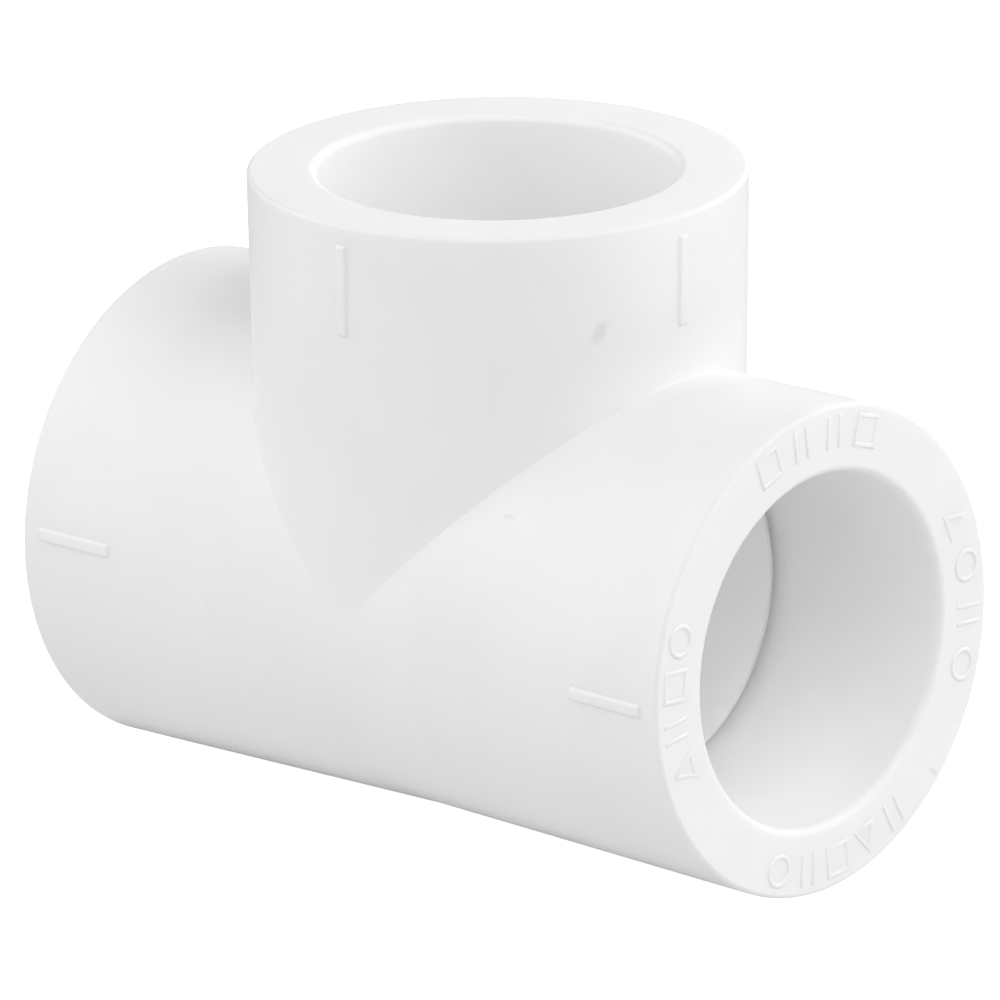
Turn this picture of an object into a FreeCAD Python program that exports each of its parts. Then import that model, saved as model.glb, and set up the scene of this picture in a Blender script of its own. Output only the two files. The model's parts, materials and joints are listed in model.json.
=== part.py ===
import FreeCAD, Part
import math
import os

# Equal tee for socket-fusion plastic pipe. It is one injection moulding, and it is written
# here as the regions that a pipe fitter would point to: the hub in the middle, the three
# sockets that the pipes are fused into, and the raised features moulded on them.
# Millimetres. The branch points along +Z and the run lies along X. The origin is on the
# ground under the branch, where the run would lie on a flat floor.

# Driving dimensions
outer_diameter = 43.0        # over a run socket, at its mouth
half_run_length = 36.25      # branch axis to a run mouth
branch_height = 36.0         # run axis to the branch mouth
draft_angle = 1.05           # degrees that every socket narrows by towards the hub
mouth_rounding = 0.45        # on the outer edge of each mouth
socket_diameter = 31.0       # bore that grips the pipe
socket_depth = 18.0          # mouth to pipe stop
lip_rounding = 0.7           # on the inner edge of each mouth, to lead the pipe in
pipe_stop_width = 1.5        # shoulder that the end of the pipe meets, round the waterway

# Alignment ribs for lining the pipe up with the fitting. Their length and their distance from
# the mouth go with the length of an arm that stands clear of the other arms.
rib_length_share = 0.5655    # 8.2 mm on the branch
rib_gap_share = 0.1241       # 1.8 mm on the branch
rib_base_width = 1.3
rib_crest_width = 0.8
rib_height = 0.2
# Degrees that each pair of ribs is turned off the true front and back, or right and left.
branch_front_rib_turn = 3.0  # towards the right
branch_side_rib_turn = -1.4  # the right one towards the front
left_rib_turn = 3.7          # the front one upwards
right_rib_turn = 1.2         # the front one downwards

# Raised marks on the right mouth, sized by the width of that mouth's flat ring
mark_height = 0.12
mark_share = 0.585           # across a mark, along the radius and round the mouth: 3.1 mm
mark_place = 0.547           # middle of a mark, from the lip at 0 to the outer edge at 1
mark_stroke_share = 0.177    # of the mark: 0.55 mm
mark_bar_share = 0.48        # middle to middle of a pair of bars, of the mark: 1.5 mm

# Each group of marks: its shapes in turn, the angle of its middle in degrees from the back of
# the mouth towards its top, and the step from one mark to the next in sizes of a mark.
mark_groups = [
    (("square", "bars", "bars", "square"), 91.4, -1.37),
    (("triangle", "ring", "bars", "ring"), 2.5, -1.43),
    (("bars", "triangle", "square", "bars", "ring"), -84.6, -1.25),
    (("ring", "square", "bars", "triangle"), 181.2, 1.27),
]

# Worked out from the sizes above
overshoot = 1.0
axis_height = outer_diameter / 2
taper = math.tan(math.radians(draft_angle))
waist_radius = outer_diameter / 2 - taper * half_run_length
run_stop = half_run_length - socket_depth
branch_stop = branch_height - socket_depth
reach = 2 * max(half_run_length, branch_height, outer_diameter)
lip_radius = socket_diameter / 2 + lip_rounding
waterway_radius = socket_diameter / 2 - pipe_stop_width
mouth_width = outer_diameter / 2 - lip_radius
mark_radius = lip_radius + mark_place * mouth_width
mark_size = mark_share * mouth_width
mark_stroke = mark_stroke_share * mark_size

centre = FreeCAD.Vector(0, 0, axis_height)
y_axis = FreeCAD.Vector(0, 1, 0)
z_axis = FreeCAD.Vector(0, 0, 1)

# Length of each arm, and the turn that lays a shape made along +Z from the origin on it.
# On both run arms the shape's +Y side stays at the back of the tee.
arms = {
    "branch": (branch_height, FreeCAD.Rotation()),
    "right": (half_run_length, FreeCAD.Rotation(y_axis, 90)),
    "left": (half_run_length, FreeCAD.Rotation(y_axis, -90)),
}
front = -90
back = 90

# Angles about each arm of its alignment ribs, from the shape's +X side towards its +Y side.
rib_angles = {
    "branch": (
        front + branch_front_rib_turn,
        back + branch_front_rib_turn,
        branch_side_rib_turn,
        180 + branch_side_rib_turn,
    ),
    "right": (front + right_rib_turn, back + right_rib_turn),
    "left": (front + left_rib_turn, back + left_rib_turn),
}


def outer_radius_at(distance):
    """Outer radius of an arm at a distance from the middle of the tee."""
    return waist_radius + taper * distance


def revolved(outline):
    """Solid of revolution about Z of a closed outline of edges in the XZ plane."""
    return Part.Face(Part.Wire(outline)).revolve(FreeCAD.Vector(0, 0, 0), z_axis, 360)


def polyline(points):
    return [Part.makeLine(a, b) for a, b in zip(points, points[1:])]


def at(radius, height):
    return FreeCAD.Vector(radius, 0, height)


def arm_outside(length):
    """Outside of one arm, from the middle of the tee to its rounded mouth."""
    corner = at(outer_radius_at(length), length)
    round_start = at(outer_radius_at(length - mouth_rounding), length - mouth_rounding)
    round_end = corner - at(mouth_rounding, 0)
    round_middle = corner + (round_start + round_end - corner * 2) * (1 - math.sqrt(0.5))
    outline = polyline([round_end, at(0, length), at(0, 0), at(waist_radius, 0), round_start])
    outline.append(Part.Arc(round_start, round_middle, round_end).toShape())
    return revolved(outline)


def arm_hollow(length):
    """Waterway, pipe stop, pipe socket and rounded lip of one arm."""
    socket = socket_diameter / 2
    stop = length - socket_depth
    lip_start = at(socket, length - lip_rounding)
    lip_end = at(lip_radius, length)
    lip_middle = at(lip_radius, length - lip_rounding) + at(-lip_rounding, lip_rounding) * math.sqrt(0.5)
    outline = polyline([
        lip_end,
        at(lip_radius, length + overshoot),
        at(0, length + overshoot),
        at(0, 0),
        at(waterway_radius, 0),
        at(waterway_radius, stop),
        at(socket, stop),
        lip_start,
    ])
    outline.append(Part.Arc(lip_start, lip_middle, lip_end).toShape())
    return revolved(outline)


def placed(shape, arm):
    """Puts a shape made along +Z from the origin onto an arm."""
    laid = shape.copy()
    laid.Placement = FreeCAD.Placement(centre, arms[arm][1]) * shape.Placement
    return laid


def rib(arm, angle):
    """One alignment rib, seated on the tapering outside of its arm."""
    length = arms[arm][0]
    clear_length = length - outer_diameter / 2
    rib_length = rib_length_share * clear_length
    start = length - rib_gap_share * clear_length - rib_length
    surface = outer_radius_at(start)
    points = [
        (surface - rib_base_width, rib_base_width / 2),
        (surface, rib_base_width / 2),
        (surface + rib_height, rib_crest_width / 2),
    ]
    points += [(radius, -y) for radius, y in reversed(points)]
    corners = [FreeCAD.Vector(radius, y, start) for radius, y in points + points[:1]]
    along = FreeCAD.Vector(taper * rib_length, 0, rib_length)
    bar = Part.Face(Part.Wire(polyline(corners))).extrude(along)
    bar.rotate(FreeCAD.Vector(0, 0, 0), z_axis, angle)
    return placed(bar.cut(arm_outside(length)), arm)


def outline_mark(corners):
    """A mark that is the outline of a polygon, in one stroke width."""
    outside = Part.Face(Part.Wire(polyline(corners + corners[:1])))
    inside = outside.makeOffset2D(-mark_stroke)
    return outside.cut(inside).extrude(z_axis * mark_height)


def mark(shape):
    """One raised mark lying on the XY plane round the origin, with +X pointing outwards."""
    half = mark_size / 2
    if shape == "ring":
        outside = Part.makeCylinder(half, mark_height)
        return outside.cut(Part.makeCylinder(half - mark_stroke, mark_height))
    if shape == "bars":
        bars = []
        for side in (-1, 1):
            low = side * mark_bar_share * mark_size / 2 - mark_stroke / 2
            corner = FreeCAD.Vector(-half, low, 0)
            bars.append(Part.makeBox(mark_size, mark_stroke, mark_height, corner))
        return Part.Compound(bars)
    points = {
        "square": [(-half, -half), (half, -half), (half, half), (-half, half)],
        "triangle": [(-half, -half), (half, 0), (-half, half)],
    }[shape]
    return outline_mark([FreeCAD.Vector(x, y, 0) for x, y in points])


def face_marks():
    """All marks, raised from the right mouth."""
    solids = []
    size_in_degrees = math.degrees(mark_size / mark_radius)
    for shapes, middle, step in mark_groups:
        for number, shape in enumerate(shapes):
            angle = middle + step * size_in_degrees * (number - (len(shapes) - 1) / 2)
            one = mark(shape)
            one.translate(FreeCAD.Vector(mark_radius, 0, half_run_length))
            one.rotate(FreeCAD.Vector(0, 0, 0), z_axis, back + angle)
            solids += placed(one, "right").Solids
    return Part.Compound(solids)


def slab(x_low, x_high, z_low, z_high):
    """Block through the whole depth of the tee, with heights taken from the run axis."""
    corner = FreeCAD.Vector(x_low, -reach, axis_height + z_low)
    return Part.makeBox(x_high - x_low, 2 * reach, z_high - z_low, corner)


def above_the_mitres():
    """Everything nearer to the branch than to the run: the wedge over the two mitre planes."""
    corners = [FreeCAD.Vector(x, -reach, z) for x, z in [(0, 0), (reach, reach), (-reach, reach), (0, 0)]]
    wedge = Part.Face(Part.Wire(polyline(corners))).extrude(y_axis * 2 * reach)
    return wedge.translated(centre)


def one_solid(shape):
    """The single solid that a cut leaves, without the wrapping of the boolean."""
    solids = shape.removeSplitter().Solids
    assert len(solids) == 1, len(solids)
    return solids[0]


# The whole moulding
outsides = [placed(arm_outside(length), arm) for arm, (length, turn) in arms.items()]
hollows = [placed(arm_hollow(length), arm) for arm, (length, turn) in arms.items()]
moulding = outsides[0].fuse(outsides[1:]).cut(hollows)

# Its regions: the hub ends at the pipe stops, and past them the sockets meet on the mitres
branch_zone = slab(-reach, reach, branch_stop, reach).common(above_the_mitres())
right_zone = slab(run_stop, reach, -reach, reach).cut(branch_zone)
left_zone = slab(-reach, -run_stop, -reach, reach).cut(branch_zone)

nodes = {
    "hub": one_solid(moulding.common(slab(-run_stop, run_stop, -reach, branch_stop))),
    "branch_socket": one_solid(moulding.common(branch_zone)),
    "right_run_socket": one_solid(moulding.common(right_zone)),
    "left_run_socket": one_solid(moulding.common(left_zone)),
    "right_mouth_marks": face_marks(),
}
for arm, angles in rib_angles.items():
    name = "branch_ribs" if arm == "branch" else arm + "_run_ribs"
    nodes[name] = Part.Compound([solid for angle in angles for solid in rib(arm, angle).Solids])

os.makedirs("parts", exist_ok=True)
for name, shape in nodes.items():
    shape.exportStep("parts/" + name + ".step")
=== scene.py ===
import json
import math

import bmesh
import bpy
from mathutils import Matrix, Vector


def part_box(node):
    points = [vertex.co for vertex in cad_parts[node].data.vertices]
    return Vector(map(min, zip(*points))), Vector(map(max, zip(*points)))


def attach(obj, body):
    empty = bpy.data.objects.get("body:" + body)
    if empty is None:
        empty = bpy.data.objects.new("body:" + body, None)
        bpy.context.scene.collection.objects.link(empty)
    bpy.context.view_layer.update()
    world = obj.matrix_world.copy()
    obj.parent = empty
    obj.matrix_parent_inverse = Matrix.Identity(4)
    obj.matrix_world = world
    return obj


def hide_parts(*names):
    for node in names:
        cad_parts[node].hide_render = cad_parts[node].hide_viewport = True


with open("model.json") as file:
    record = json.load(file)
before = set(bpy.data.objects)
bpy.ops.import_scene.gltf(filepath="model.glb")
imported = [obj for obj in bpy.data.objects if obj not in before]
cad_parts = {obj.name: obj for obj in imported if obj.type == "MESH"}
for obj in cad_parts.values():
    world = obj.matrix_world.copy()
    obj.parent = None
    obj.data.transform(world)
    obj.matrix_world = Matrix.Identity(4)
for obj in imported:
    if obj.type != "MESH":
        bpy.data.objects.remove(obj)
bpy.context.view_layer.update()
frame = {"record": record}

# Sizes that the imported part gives, in metres
mounts = {mount["name"]: mount for mount in frame["record"]["mounts"]}
rightLow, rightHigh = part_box("right_run_socket")
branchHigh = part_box("branch_socket")[1]
mouthRadius = (rightHigh.y - rightLow.y) / 2           # outside of a run mouth
axisHeight = mounts["right_run_socket"]["pos_m"][2]    # floor to the middle of the run
runLength = rightHigh.x                                # middle of the tee to a run mouth
branchLength = branchHigh.z - axisHeight
socketRadius = mounts["right_run_socket"]["dims"]["r_mm"] / 1000
socketWall = mounts["right_run_socket"]["dims"]["length_mm"] / 1000
pipeStop = mounts["right_run_socket"]["pos_m"][0]      # middle of the tee to where a pipe ends
lipRounding = runLength - pipeStop - socketWall        # inner edge of each mouth
centre = Vector((0, 0, axisHeight))

# Each arm is made pointing up from the middle of the tee, then turned and lifted into place.
arms = {
    "branch": {"length": branchLength, "turn": Matrix.Identity(4)},
    "right": {"length": runLength, "turn": Matrix.Rotation(math.radians(90), 4, "Y")},
    "left": {"length": runLength, "turn": Matrix.Rotation(math.radians(-90), 4, "Y")},
}


def deselectAll():
    if bpy.context.mode != "OBJECT":
        bpy.ops.object.mode_set(mode="OBJECT")
    bpy.ops.object.select_all(action="DESELECT")


def workOn(piece):
    deselectAll()
    piece.select_set(True)
    bpy.context.view_layer.objects.active = piece


def edit(piece):
    workOn(piece)
    bpy.ops.object.mode_set(mode="EDIT")


def pickFaces(piece, wanted):
    bpy.ops.mesh.select_mode(type="FACE")
    bpy.ops.mesh.select_all(action="DESELECT")
    net = bmesh.from_edit_mesh(piece.data)
    for face in net.faces:
        if wanted(face):
            face.select_set(True)
    bmesh.update_edit_mesh(piece.data)


def pickEdges(piece, wanted):
    bpy.ops.mesh.select_mode(type="EDGE")
    bpy.ops.mesh.select_all(action="DESELECT")
    net = bmesh.from_edit_mesh(piece.data)
    for edge in net.edges:
        if wanted(edge):
            edge.select_set(True)
    bmesh.update_edit_mesh(piece.data)


def bevelEdges(piece, wanted, size, steps):
    pickEdges(piece, wanted)
    bpy.ops.mesh.bevel(offset=size, segments=steps, profile=0.5, affect="EDGES")


def smoothOver(piece):
    # smooth shading, with real corners kept
    workOn(piece)
    bpy.ops.object.shade_smooth_by_angle(angle=math.radians(50))


def place(piece, matrix):
    workOn(piece)
    piece.matrix_world = matrix
    bpy.ops.object.transform_apply(location=True, rotation=True, scale=True)


def duplicate(piece, name):
    twin = piece.copy()
    twin.data = piece.data.copy()
    twin.name = name
    bpy.context.collection.objects.link(twin)
    return twin


def joinPieces(pieces, name):
    deselectAll()
    for piece in pieces:
        piece.select_set(True)
    bpy.context.view_layer.objects.active = pieces[0]
    bpy.ops.object.join()
    pieces[0].name = name
    return pieces[0]


def applyModifier(piece, kind, **settings):
    workOn(piece)
    modifier = piece.modifiers.new(kind.lower(), kind)
    for name, value in settings.items():
        setattr(modifier, name, value)
    bpy.ops.object.modifier_apply(modifier=modifier.name)


# The moulding itself: three sockets that run into each other
bodyValues = {
    "segments": 192,                  # round every arm; a multiple of four
    "draft": math.radians(1.05),      # how much an arm narrows towards the hub
    "stopWidth": 0.0015,              # shoulder that the end of a pipe meets
    "stopLand": 0.0005,               # its flat part; the rest slopes into a groove
    "grooveDepth": 0.0014,
    "grooveRounding": 0.0004,         # from that flat part into the groove
    "waterwayRounding": 0.00008,
    "rimRounding": 0.00045,           # outer edge of each mouth
    "crotchRadius": 0.00012,          # where the branch meets the run, outside
    "throatRadius": 0.0003,           # and inside
}
taper = math.tan(bodyValues["draft"])
waistRadius = mouthRadius - taper * runLength
lipRadius = socketRadius + lipRounding
waterwayRadius = socketRadius - bodyValues["stopWidth"]


def onRing(edge, radius, height):
    # to a fiftieth of a millimetre
    for vert in edge.verts:
        if abs(vert.co.z - height) > 2e-5 or abs(vert.co.xy.length - radius) > 2e-5:
            return False
    return True


def sinkCap(depth):
    # pushes the selected cap straight into the arm
    bpy.ops.mesh.extrude_region_move(TRANSFORM_OT_translate={"value": (0, 0, -depth)})


def makeArm(name):
    length = arms[name]["length"]
    rimRadius = waistRadius + taper * length
    stop = length - lipRounding - socketWall
    groove = bodyValues["grooveDepth"]
    deselectAll()
    bpy.ops.mesh.primitive_cone_add(
        vertices=bodyValues["segments"],
        radius1=waistRadius,
        radius2=rimRadius,
        depth=length,
        end_fill_type="NGON",
        location=(0, 0, length / 2),
    )
    arm = bpy.context.object
    arm.name = name + "Arm"
    bpy.ops.object.transform_apply(location=True, rotation=True, scale=True)
    edit(arm)
    pickFaces(arm, lambda face: face.normal.z < -0.9)
    bpy.ops.mesh.delete(type="FACE")
    pickFaces(arm, lambda face: face.normal.z > 0.9)
    bpy.ops.mesh.inset(thickness=rimRadius - socketRadius, depth=0)
    sinkCap(length - stop + groove)
    bpy.ops.mesh.inset(thickness=bodyValues["stopWidth"] - bodyValues["stopLand"], depth=groove)
    bpy.ops.mesh.inset(thickness=bodyValues["stopLand"], depth=0)
    sinkCap(stop)
    bpy.ops.mesh.delete(type="FACE")
    rounded = [
        (rimRadius, length, bodyValues["rimRounding"], 6),
        (socketRadius, length, lipRounding, 8),
        (waterwayRadius, stop, bodyValues["waterwayRounding"], 3),
        (waterwayRadius + bodyValues["stopLand"], stop, bodyValues["grooveRounding"], 8),
    ]
    for radius, height, size, steps in rounded:
        bevelEdges(arm, lambda edge: onRing(edge, radius, height), size, steps)
    place(arm, Matrix.Translation(centre) @ arms[name]["turn"])
    return arm


def mitre(arm, *keptSides):
    edit(arm)
    for side in keptSides:
        bpy.ops.mesh.select_all(action="SELECT")
        bpy.ops.mesh.bisect(plane_co=centre, plane_no=side, clear_inner=True, threshold=1e-6)


def creaseWeight(middle):
    # the rolled fillet gets wider with the angle between the two arms' walls
    side = abs(middle.y) / math.hypot(middle.y, middle.z - axisHeight)
    return math.tan(math.acos(min(1, side * side)) / 2)


def onCrease(point):
    # on a mitre plane, to a hundredth of a millimetre
    return abs(abs(point.x) - (point.z - axisHeight)) < 1e-5 and point.z - axisHeight > -1e-5


def makeBody():
    branchArm, rightArm, leftArm = makeArm("branch"), makeArm("right"), makeArm("left")
    mitre(rightArm, (1, 0, -1))
    mitre(leftArm, (-1, 0, -1))
    mitre(branchArm, (1, 0, 1), (-1, 0, 1))
    body = joinPieces([branchArm, rightArm, leftArm], "teeBody")
    edit(body)
    bpy.ops.mesh.select_all(action="SELECT")
    bpy.ops.mesh.remove_doubles(threshold=5e-6)
    bpy.ops.mesh.normals_make_consistent(inside=False)
    deselectAll()
    weights = body.data.attributes.new("bevel_weight_edge", "FLOAT", "EDGE")
    throatShare = bodyValues["throatRadius"] / bodyValues["crotchRadius"]
    for edge in body.data.edges:
        ends = [body.data.vertices[number].co for number in edge.vertices]
        if all(onCrease(point) for point in ends):
            middle = (ends[0] + ends[1]) / 2
            outside = math.hypot(middle.y, middle.z - axisHeight) > socketRadius
            weights.data[edge.index].value = creaseWeight(middle) * (1 if outside else throatShare)
    applyModifier(
        body, "BEVEL",
        limit_method="WEIGHT",
        width=bodyValues["crotchRadius"],
        segments=8,
        use_clamp_overlap=False,
    )
    smoothOver(body)
    applyModifier(body, "WEIGHTED_NORMAL", keep_sharp=True)
    return body


# Alignment ribs, cast on the outside of the arms
ribValues = {
    "length": 0.0082,
    "gap": 0.0018,                    # mouth to the near end
    "baseWidth": 0.0013,
    "crestWidth": 0.0008,
    "height": 0.0002,
    "buried": 0.00005,
    "endSlope": 0.00025,
    "rounding": 0.00012,
    # degrees round each arm, from its +X side towards the back of the tee
    "angles": {"branch": (-87, 93, -1.4, 178.6), "right": (-88.8, 91.2), "left": (-86.3, 93.7)},
}


def makeRib():
    height = ribValues["height"] + ribValues["buried"]
    deselectAll()
    bpy.ops.mesh.primitive_cube_add(size=1, location=(height / 2 - ribValues["buried"], 0, 0))
    rib = bpy.context.object
    rib.name = "rib"
    rib.scale = (height, ribValues["baseWidth"], ribValues["length"])
    bpy.ops.object.transform_apply(location=True, rotation=True, scale=True)
    edit(rib)
    pickFaces(rib, lambda face: face.normal.x > 0.9)
    narrow = ribValues["crestWidth"] / ribValues["baseWidth"]
    shorter = 1 - 2 * ribValues["endSlope"] / ribValues["length"]
    bpy.ops.transform.resize(value=(1, narrow, shorter), center_override=(0, 0, 0))
    bevelEdges(rib, lambda edge: max(vert.co.x for vert in edge.verts) > 0, ribValues["rounding"], 3)
    smoothOver(rib)
    return rib


def makeRibs(rib, arm, name):
    length = arms[arm]["length"]
    middle = length - ribValues["gap"] - ribValues["length"] / 2
    seat = Matrix.Translation((waistRadius + taper * middle, 0, middle))
    tilt = Matrix.Rotation(bodyValues["draft"], 4, "Y")
    copies = []
    for angle in ribValues["angles"][arm]:
        twin = duplicate(rib, name)
        swing = Matrix.Rotation(math.radians(angle), 4, "Z")
        place(twin, Matrix.Translation(centre) @ arms[arm]["turn"] @ swing @ seat @ tilt)
        copies.append(twin)
    return joinPieces(copies, name)


# Raised marks on the right mouth, plain shapes only
markValues = {
    "height": 0.00012,
    "buried": 0.0002,
    "share": 0.585,                   # of the flat ring's width
    "place": 0.547,                   # from the lip to the outer edge
    "stroke": 0.177,                  # of a mark's size
    "barSpacing": 0.48,               # of a mark's size
    "rounding": 0.00025,
    # shapes in turn, angle of the middle from the back towards the top, step in mark sizes
    "groups": [
        (("square", "bars", "bars", "square"), 91.4, -1.37),
        (("triangle", "ring", "bars", "ring"), 2.5, -1.43),
        (("bars", "triangle", "square", "bars", "ring"), -84.6, -1.25),
        (("ring", "square", "bars", "triangle"), 181.2, 1.27),
    ],
}
markSize = markValues["share"] * (mouthRadius - lipRadius)
markStroke = markValues["stroke"] * markSize
markRadius = lipRadius + markValues["place"] * (mouthRadius - lipRadius)
markLift = markValues["height"] + markValues["buried"]


def onTopCorner(edge):
    # on the top face, and between it and a side
    directions = {round(face.normal.z) for face in edge.link_faces}
    return min(vert.co.z for vert in edge.verts) > 0 and len(directions) > 1


def raiseMark(mark, name):
    # cuts the middle out of a flat shape, gives it its height and softens its top edges
    bpy.ops.mesh.inset(thickness=markStroke, depth=0)
    bpy.ops.mesh.delete(type="FACE")
    mark.name = name
    bpy.ops.mesh.select_all(action="SELECT")
    bpy.ops.mesh.extrude_region_move(TRANSFORM_OT_translate={"value": (0, 0, markLift)})
    bpy.ops.mesh.select_all(action="SELECT")
    bpy.ops.mesh.normals_make_consistent(inside=False)
    bevelEdges(mark, onTopCorner, markValues["rounding"], 3)
    smoothOver(mark)
    return mark


def startMark():
    bpy.ops.object.transform_apply(location=True, rotation=True, scale=True)
    bpy.ops.object.mode_set(mode="EDIT")
    bpy.ops.mesh.select_mode(type="FACE")
    bpy.ops.mesh.select_all(action="SELECT")


def makeCorneredMark(name, pointed):
    deselectAll()
    bpy.ops.mesh.primitive_plane_add(size=markSize, location=(0, 0, -markValues["buried"]))
    mark = bpy.context.object
    startMark()
    if pointed:
        # the outer side shrinks to a point, which leaves a triangle
        pickEdges(mark, lambda edge: min(vert.co.x for vert in edge.verts) > 0)
        bpy.ops.mesh.merge(type="CENTER")
        pickFaces(mark, lambda face: True)
    return raiseMark(mark, name)


def makeRingMark():
    deselectAll()
    bpy.ops.mesh.primitive_circle_add(
        vertices=32,
        radius=markSize / 2,
        fill_type="NGON",
        location=(0, 0, -markValues["buried"]),
    )
    startMark()
    return raiseMark(bpy.context.object, "ringMark")


def makeBarsMark():
    bars = []
    for side in (-1, 1):
        deselectAll()
        bpy.ops.mesh.primitive_cube_add(size=1, location=(0, 0, markLift / 2 - markValues["buried"]))
        bar = bpy.context.object
        bar.name = "barsMark"
        bar.scale = (markSize, markStroke, markLift)
        bar.location.y = side * markValues["barSpacing"] * markSize / 2
        bpy.ops.object.transform_apply(location=True, rotation=True, scale=True)
        edit(bar)
        bevelEdges(bar, onTopCorner, markValues["rounding"], 3)
        smoothOver(bar)
        bars.append(bar)
    return joinPieces(bars, "barsMark")


def makeMarks():
    originals = {
        "square": makeCorneredMark("squareMark", pointed=False),
        "triangle": makeCorneredMark("triangleMark", pointed=True),
        "ring": makeRingMark(),
        "bars": makeBarsMark(),
    }
    seat = Matrix.Translation((markRadius, 0, runLength))
    copies = []
    for shapes, middle, step in markValues["groups"]:
        for number, shape in enumerate(shapes):
            steps = number - (len(shapes) - 1) / 2
            angle = math.radians(90 + middle) + step * steps * markSize / markRadius
            twin = duplicate(originals[shape], shape + "Copy")
            swing = Matrix.Rotation(angle, 4, "Z")
            place(twin, Matrix.Translation(centre) @ arms["right"]["turn"] @ swing @ seat)
            copies.append(twin)
    for original in originals.values():
        bpy.data.objects.remove(original)
    return joinPieces(copies, "rightMouthMarks")


# One finish for everything: satin white polypropylene
plasticValues = {
    "light": (0.93, 0.93, 0.925, 1),
    "dim": (0.905, 0.907, 0.905, 1),
    "roughness": 0.5,
    "roughnessSpread": 0.12,
    "scatter": 0.25,
    "scatterDepth": 0.0012,
    "refraction": 1.49,
    "cloudsPerMetre": 70,
    "ripplesPerMetre": 160,
    "grainPerMetre": 2200,
    "bumpHeight": 0.00002,
    "rippleShare": 2,                 # of the bump height
    "grainShare": 0.15,
    "soiled": (0.42, 0.41, 0.4, 1),
    "specksPerMetre": 130,
    "speckRadius": 0.00025,
    "speckStrength": 0.14,
    "frayPerMetre": 1500,             # ragged edges of specks and smears
    "speckFray": 0.02,                # of a cell
    # smears: arm, face, degrees round it and metres from its mouth, or on the mouth itself how far
    # out from the lip at 0 to the outer edge at 1; then half sizes, turn in degrees, and strength
    "smears": [
        (("branch", "outside", -25, 0.009), (0.0008, 0.0008, 0.0014), (-30, 15, 0), 0.2),
        (("right", "outside", -125, 0.02), (0.0008, 0.0003, 0.0003), (0, 0, 0), 0.14),
        (("right", "mouth", 45, 0.8), (0.0003, 0.0007, 0.0003), (-45, 0, 0), 0.25),
    ],
}


def onArm(arm, face, angle, along):
    length = arms[arm]["length"]
    if face == "mouth":
        height = length
        radius = lipRadius + along * (mouthRadius - lipRadius)
    else:
        height = length - along
        radius = waistRadius + taper * height
    swing = Matrix.Rotation(math.radians(angle), 4, "Z")
    return Matrix.Translation(centre) @ arms[arm]["turn"] @ swing @ Vector((radius, 0, height))


class Wire:
    # one output of a node, with maths between outputs
    def __init__(self, tree, socket=None):
        self.tree = tree
        self.socket = socket

    def add(self, kind, settings, values, output=0):
        node = self.tree.nodes.new(kind)
        for name, value in settings.items():
            setattr(node, name, value)
        for name, value in values.items():
            if isinstance(value, Wire):
                self.tree.links.new(value.socket, node.inputs[name])
            else:
                node.inputs[name].default_value = value
        return Wire(self.tree, node.outputs[output])

    def mix(self, factor, first, second):
        return self.add(
            "ShaderNodeMix", {"data_type": "RGBA"}, {"Factor": factor, "A": first, "B": second}, "Result"
        )

    def maths(self, operation, first, second):
        return self.add("ShaderNodeMath", {"operation": operation}, {0: first, 1: second})

    def __add__(self, other):
        return self.maths("ADD", self, other)

    def __sub__(self, other):
        return self.maths("SUBTRACT", self, other)

    def __rsub__(self, other):
        return self.maths("SUBTRACT", other, self)

    def __mul__(self, other):
        return self.maths("MULTIPLY", self, other)

    __radd__ = __add__
    __rmul__ = __mul__


def noise(start, spot, scale, detail, distortion=0):
    return start.add(
        "ShaderNodeTexNoise", {},
        {"Vector": spot, "Scale": scale, "Detail": detail, "Distortion": distortion},
    )


def ramp(start, value, low, high):
    # 0 below low, 1 above high, smooth between them
    return start.add(
        "ShaderNodeMapRange",
        {"interpolation_type": "SMOOTHSTEP"},
        {"Value": value, "From Min": low, "From Max": high},
    )


def soiling(start, spot):
    # strength of the grey specks and smears, from 0 to 1
    fray = noise(start, spot, plasticValues["frayPerMetre"], 2) - 0.5
    perMetre = plasticValues["specksPerMetre"]
    # a speck shows where a cell's middle happens to lie on the surface
    cells = start.add("ShaderNodeTexVoronoi", {}, {"Vector": spot, "Scale": perMetre}, "Distance")
    edge = plasticValues["speckRadius"] * perMetre
    specks = 1 - ramp(start, cells + fray * plasticValues["speckFray"], edge / 3, edge)
    total = specks * plasticValues["speckStrength"]
    for middle, halfSizes, turn, strength in plasticValues["smears"]:
        turned = start.add(
            "ShaderNodeMapping",
            {"vector_type": "TEXTURE"},
            {
                "Vector": spot,
                "Location": onArm(*middle),
                "Rotation": [math.radians(angle) for angle in turn],
                "Scale": halfSizes,
            },
        )
        # from the middle at 0 to the smear's edge at 1, and a little past it where it frays
        away = start.add("ShaderNodeVectorMath", {"operation": "LENGTH"}, {0: turned}, "Value")
        total = total + (1 - ramp(start, away + fray, 0.2, 1.2)) * strength
    return total


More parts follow.
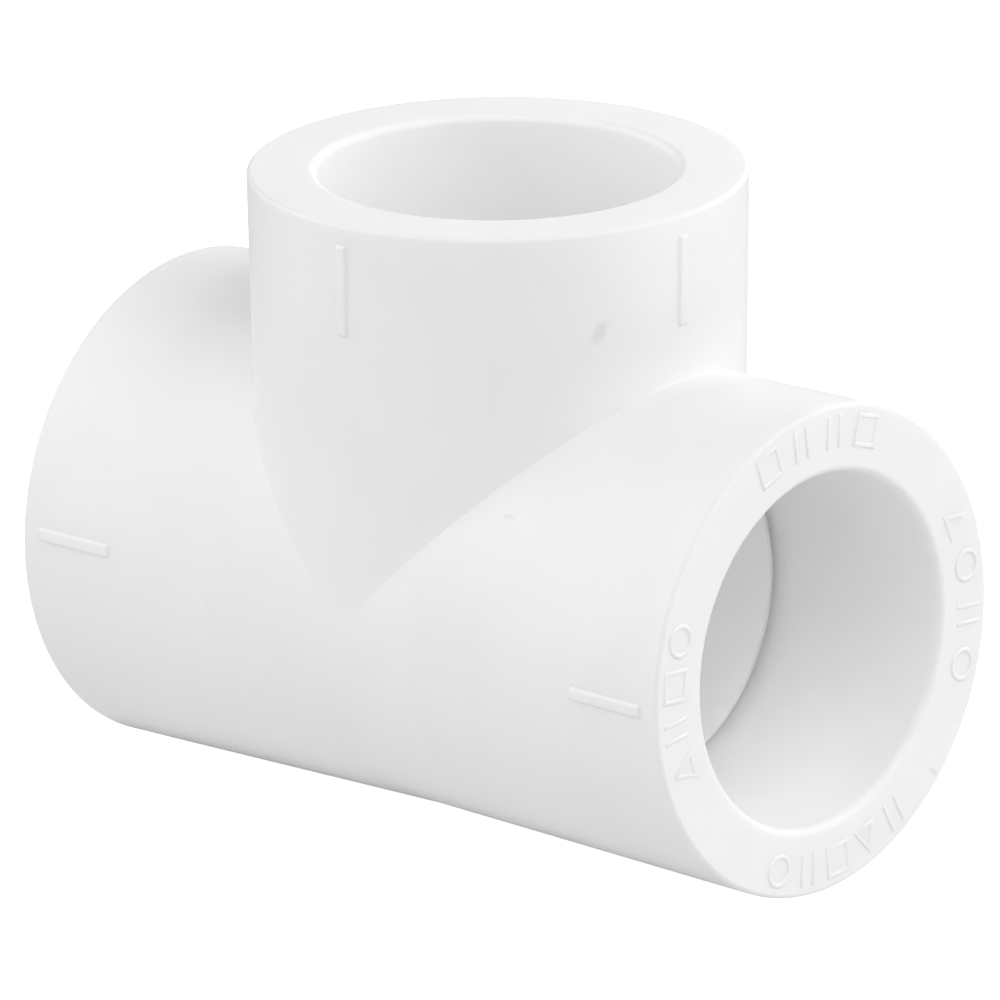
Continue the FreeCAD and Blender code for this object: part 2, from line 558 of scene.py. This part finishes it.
def makePlastic(name, scatter):
    material = bpy.data.materials.new(name)
    material.use_nodes = True
    tree = material.node_tree
    shader = tree.nodes["Principled BSDF"]
    start = Wire(tree)
    spot = start.add("ShaderNodeTexCoord", {}, {}, "Object")
    clouds = noise(start, spot, plasticValues["cloudsPerMetre"], 3, distortion=0.6)
    grain = noise(start, spot, plasticValues["grainPerMetre"], 3)
    ripple = noise(start, spot, plasticValues["ripplesPerMetre"], 2)
    tone = start.mix(ramp(start, clouds, 0.3, 0.7), plasticValues["dim"], plasticValues["light"])
    colour = start.mix(soiling(start, spot), tone, plasticValues["soiled"])
    roughness = plasticValues["roughness"] + plasticValues["roughnessSpread"] * (clouds - 0.5)
    height = ripple * plasticValues["rippleShare"] + grain * plasticValues["grainShare"]
    bump = start.add(
        "ShaderNodeBump", {},
        {"Strength": 1, "Distance": plasticValues["bumpHeight"], "Height": height},
    )
    tree.links.new(colour.socket, shader.inputs["Base Color"])
    tree.links.new(roughness.socket, shader.inputs["Roughness"])
    tree.links.new(bump.socket, shader.inputs["Normal"])
    shader.inputs["IOR"].default_value = plasticValues["refraction"]
    shader.inputs["Subsurface Weight"].default_value = scatter
    shader.inputs["Subsurface Radius"].default_value = (1, 1, 1)
    shader.inputs["Subsurface Scale"].default_value = plasticValues["scatterDepth"]
    return material


print("modelling the moulding")
plastic = makePlastic("satinPolypropylene", plasticValues["scatter"])
thinPlastic = makePlastic("thinPolypropylene", 0)
pieces = {"teeBody": makeBody()}
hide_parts("hub", "branch_socket", "right_run_socket", "left_run_socket")

print("casting the alignment ribs")
rib = makeRib()
for arm, name, node in [
    ("branch", "branchRibs", "branch_ribs"),
    ("right", "rightRunRibs", "right_run_ribs"),
    ("left", "leftRunRibs", "left_run_ribs"),
]:
    pieces[name] = makeRibs(rib, arm, name)
    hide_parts(node)
bpy.data.objects.remove(rib)

print("raising the marks")
pieces["rightMouthMarks"] = makeMarks()
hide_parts("right_mouth_marks")

for name, piece in pieces.items():
    piece.data.materials.clear()
    piece.data.materials.append(plastic if name == "teeBody" else thinPlastic)
    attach(piece, "root")

# Studio: a light table with soft lights round it, and a long lens
print("setting up the studio")
studioValues = {
    "tableRadius": 3.0,
    "wallHeight": 2.5,
    "sweepRadius": 1.0,               # from the table top up into the wall
    "tableColour": (0.5, 0.5, 0.5, 1),
    "tableGlow": 1.0,                 # near the tee
    "wallGlow": 1.1,                  # away from the lights
    "glowStart": 0.5,                 # metres from the tee
    "glowEnd": 1.6,
    "cardSize": (0.073, 0.02),
    "cardPlace": (-0.0025, 0, -0.0005),
    "cardColour": (0.1, 0.1, 0.1, 1),
    "deepLight": 0.6,                 # through the table, from straight below
    "lowLight": 0.75,                 # and from round about, lower than the table
    # where each gives way to the next, by how far a direction points down: 0 level, -1 straight
    "deepEnds": (-0.8, -0.62),
    "lowEnds": (-0.42, -0.26),
    "lightDistance": 1.5,
    "lightSize": 1.2,
    # rings of soft lights: height angle, watts at the sides, how much dimmer in front and brighter
    # behind, and places in degrees from the front towards the right, none straight at the right mouth
    "rings": {
        "side": (18, 5.1, 1.6, (0, 40, 120, 160, 200, 280, 320)),
        "high": (52, 6.2, 0, (60, 120, 300)),
        "under": (-25, 3.8, 0, (0, 120)),
    },
}
cameraValues = {
    "position": (1.0872, -1.2222, 0.5439),
    "azimuth": 41.659,
    "elevation": 17.516,
    "roll": -0.628,
    "lens": 720.13,
    "sensor": 36,
    "seesTo": 50,                     # metres
}


def makeTable():
    # a round table top that sweeps up into a low wall; only the camera sees it
    deselectAll()
    bpy.ops.mesh.primitive_circle_add(
        vertices=96, radius=studioValues["tableRadius"], fill_type="NGON", location=(0, 0, 0)
    )
    table = bpy.context.object
    table.name = "lightTable"
    edit(table)
    pickEdges(table, lambda edge: len(edge.link_faces) == 1)
    bpy.ops.mesh.extrude_region_move(
        TRANSFORM_OT_translate={"value": (0, 0, studioValues["wallHeight"])}
    )
    pickEdges(table, lambda edge: len(edge.link_faces) == 2 and max(
        vert.co.z for vert in edge.verts) < 0.01)
    bpy.ops.mesh.bevel(offset=studioValues["sweepRadius"], segments=12, profile=0.5, affect="EDGES")
    workOn(table)
    bpy.ops.object.shade_smooth()
    table.data.materials.append(makeTableFinish())
    table.visible_diffuse = False
    table.visible_glossy = False
    table.visible_transmission = False
    table.visible_shadow = False


def makeCard():
    # a dark card between the table and the tee, which gives its lower edge a line
    deselectAll()
    bpy.ops.mesh.primitive_plane_add(size=1, location=studioValues["cardPlace"])
    card = bpy.context.object
    card.name = "edgeCard"
    card.scale = (*studioValues["cardSize"], 1)
    bpy.ops.object.transform_apply(location=True, rotation=True, scale=True)
    material = bpy.data.materials.new("darkCard")
    material.use_nodes = True
    shader = material.node_tree.nodes["Principled BSDF"]
    shader.inputs["Base Color"].default_value = studioValues["cardColour"]
    card.data.materials.append(material)
    card.visible_camera = False


def makeTableFinish():
    material = bpy.data.materials.new("paleTable")
    material.use_nodes = True
    tree = material.node_tree
    shader = tree.nodes["Principled BSDF"]
    shader.inputs["Base Color"].default_value = studioValues["tableColour"]
    shader.inputs["Roughness"].default_value = 0.9
    shader.inputs["Specular IOR Level"].default_value = 0.1
    shader.inputs["Emission Strength"].default_value = 1
    start = Wire(tree)
    spot = start.add("ShaderNodeTexCoord", {}, {}, "Object")
    away = start.add("ShaderNodeVectorMath", {"operation": "LENGTH"}, {0: spot}, "Value")
    far = ramp(start, away, studioValues["glowStart"], studioValues["glowEnd"])
    near, wall = studioValues["tableGlow"], studioValues["wallGlow"]
    glow = start.mix(far, (near, near, near, 1), (wall, wall, wall, 1))
    tree.links.new(glow.socket, shader.inputs["Emission Color"])
    return material


def makeWorld():
    # light comes up through the table: dim from straight below, brighter from the sides
    world = bpy.data.worlds.new("softWorld")
    world.use_nodes = True
    tree = world.node_tree
    start = Wire(tree)
    way = start.add("ShaderNodeTexCoord", {}, {}, "Generated")
    height = start.add("ShaderNodeSeparateXYZ", {}, {"Vector": way}, "Z")
    raised = ramp(start, height, *studioValues["deepEnds"])
    deep = 1 - raised
    low = raised * (1 - ramp(start, height, *studioValues["lowEnds"]))
    strength = deep * studioValues["deepLight"] + low * studioValues["lowLight"]
    tree.links.new(strength.socket, tree.nodes["Background"].inputs["Strength"])
    tree.nodes["Background"].inputs["Color"].default_value = (1, 1, 1, 1)
    bpy.context.scene.world = world


def makeLight(name, watts, azimuth, height):
    data = bpy.data.lights.new(name, "AREA")
    data.shape = "DISK"
    data.size = studioValues["lightSize"]
    data.energy = watts
    light = bpy.data.objects.new(name, data)
    bpy.context.collection.objects.link(light)
    around, up = math.radians(azimuth), math.radians(height)
    away = Vector((math.sin(around) * math.cos(up), -math.cos(around) * math.cos(up), math.sin(up)))
    light.location = centre + studioValues["lightDistance"] * away
    light.rotation_euler = away.to_track_quat("Z", "Y").to_euler()
    light.visible_camera = False


def makeRing(name, height, watts, dimmerInFront, places):
    for azimuth in places:
        power = watts - dimmerInFront * math.cos(math.radians(azimuth))
        makeLight(name + str(azimuth), power, azimuth, height)


def makeCamera():
    data = bpy.data.cameras.new("camera")
    data.lens = cameraValues["lens"]
    data.sensor_width = cameraValues["sensor"]
    data.clip_end = cameraValues["seesTo"]
    camera = bpy.data.objects.new("camera", data)
    bpy.context.collection.objects.link(camera)
    camera.rotation_euler = (
        Matrix.Rotation(math.radians(cameraValues["azimuth"]), 4, "Z")
        @ Matrix.Rotation(math.radians(90 - cameraValues["elevation"]), 4, "X")
        @ Matrix.Rotation(math.radians(cameraValues["roll"]), 4, "Z")
    ).to_euler()
    camera.location = cameraValues["position"]
    bpy.context.scene.camera = camera


makeTable()
makeCard()
makeWorld()
for name, settings in studioValues["rings"].items():
    makeRing(name, *settings)
makeCamera()
bpy.context.scene.view_settings.view_transform = "Standard"
bpy.context.scene.cycles.diffuse_bounces = 8    # light keeps going inside white plastic
